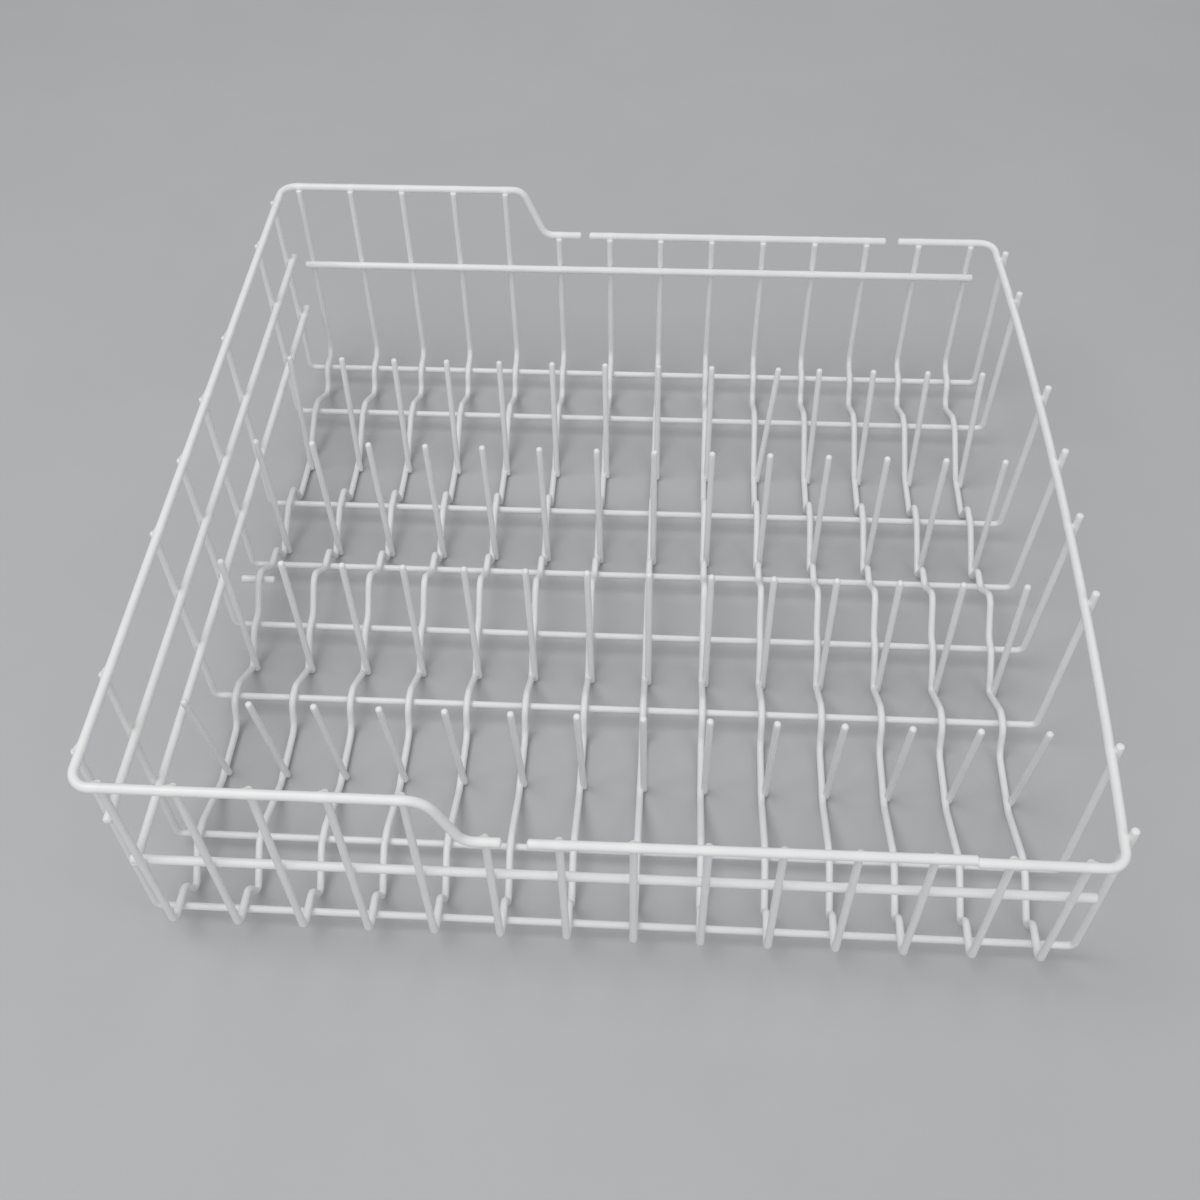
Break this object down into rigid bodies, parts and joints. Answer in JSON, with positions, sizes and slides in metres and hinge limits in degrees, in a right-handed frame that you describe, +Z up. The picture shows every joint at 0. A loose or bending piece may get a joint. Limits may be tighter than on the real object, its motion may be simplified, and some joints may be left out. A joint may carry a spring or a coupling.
{
  "type": "dishwasher basket",
  "caption": "Lower plate rack of a dishwasher, welded from white coated wire, with rows of upright tines, a stepped floor and a rim that is taller at one end.",
  "frame": {"origin": "under the middle of the basket, on the surface that it stands on", "axes": "+X to the right, towards the low end; +Y to the back; +Z up"},
  "size_m": [0.5148, 0.487, 0.1602],
  "materials": {
    "coat": "white dip coat over steel wire, satin, thicker round the welds and at the wire ends"
  },
  "bodies": {
    "root": {"rim_left": "coat", "rim_right": "coat", "rim_front": "coat", "rim_back": "coat", "left_rail_upper": "coat", "left_rail_lower": "coat", "back_rail": "coat", "front_rail": "coat", "stub_bar": "coat", "cross_wire_1": "coat", "cross_wire_2": "coat", "cross_wire_3": "coat", "cross_wire_4": "coat", "cross_wire_5": "coat", "cross_wire_6": "coat", "cross_wire_7": "coat", "cross_wire_8": "coat", "floor_wire_01": "coat", "floor_wire_02": "coat", "floor_wire_03": "coat", "floor_wire_04": "coat", "floor_wire_05": "coat", "floor_wire_06": "coat", "floor_wire_07": "coat", "floor_wire_08": "coat", "floor_wire_09": "coat", "floor_wire_10": "coat", "floor_wire_11": "coat", "floor_wire_12": "coat", "floor_wire_13": "coat", "floor_wire_14": "coat", "tine_row_1": "coat", "tine_row_2": "coat", "tine_row_3": "coat", "tine_row_4": "coat"}
  },
  "joints": []
}
